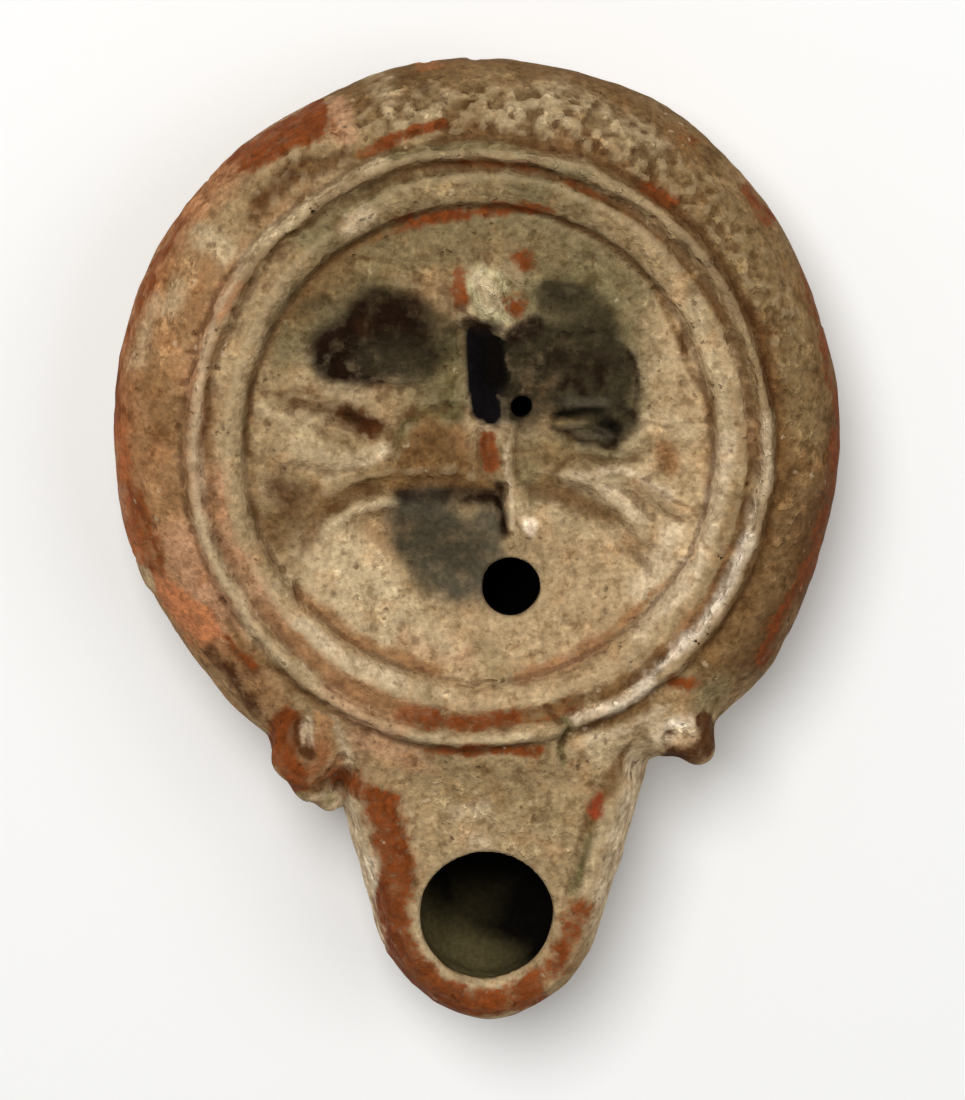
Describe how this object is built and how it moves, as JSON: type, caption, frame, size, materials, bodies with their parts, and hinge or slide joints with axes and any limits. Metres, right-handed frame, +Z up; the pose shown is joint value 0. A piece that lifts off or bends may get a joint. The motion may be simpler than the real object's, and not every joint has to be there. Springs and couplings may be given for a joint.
{
  "type": "roman oil lamp",
  "caption": "Round hollow fired-clay oil lamp with a sunk relief disc, a filling hole and a rounded nozzle between two volutes.",
  "frame": {"origin": "centre of the foot's underside", "axes": "+Z up, out of the picture disc; the nozzle points to -Y; +X is to the right as the picture shows the lamp"},
  "size_m": [0.0752, 0.1011, 0.0257],
  "materials": {
    "fired_clay": "worn matt, with pale encrustation, soot and red-brown slip"
  },
  "bodies": {
    "root": {"lamp": "fired_clay"}
  },
  "joints": []
}
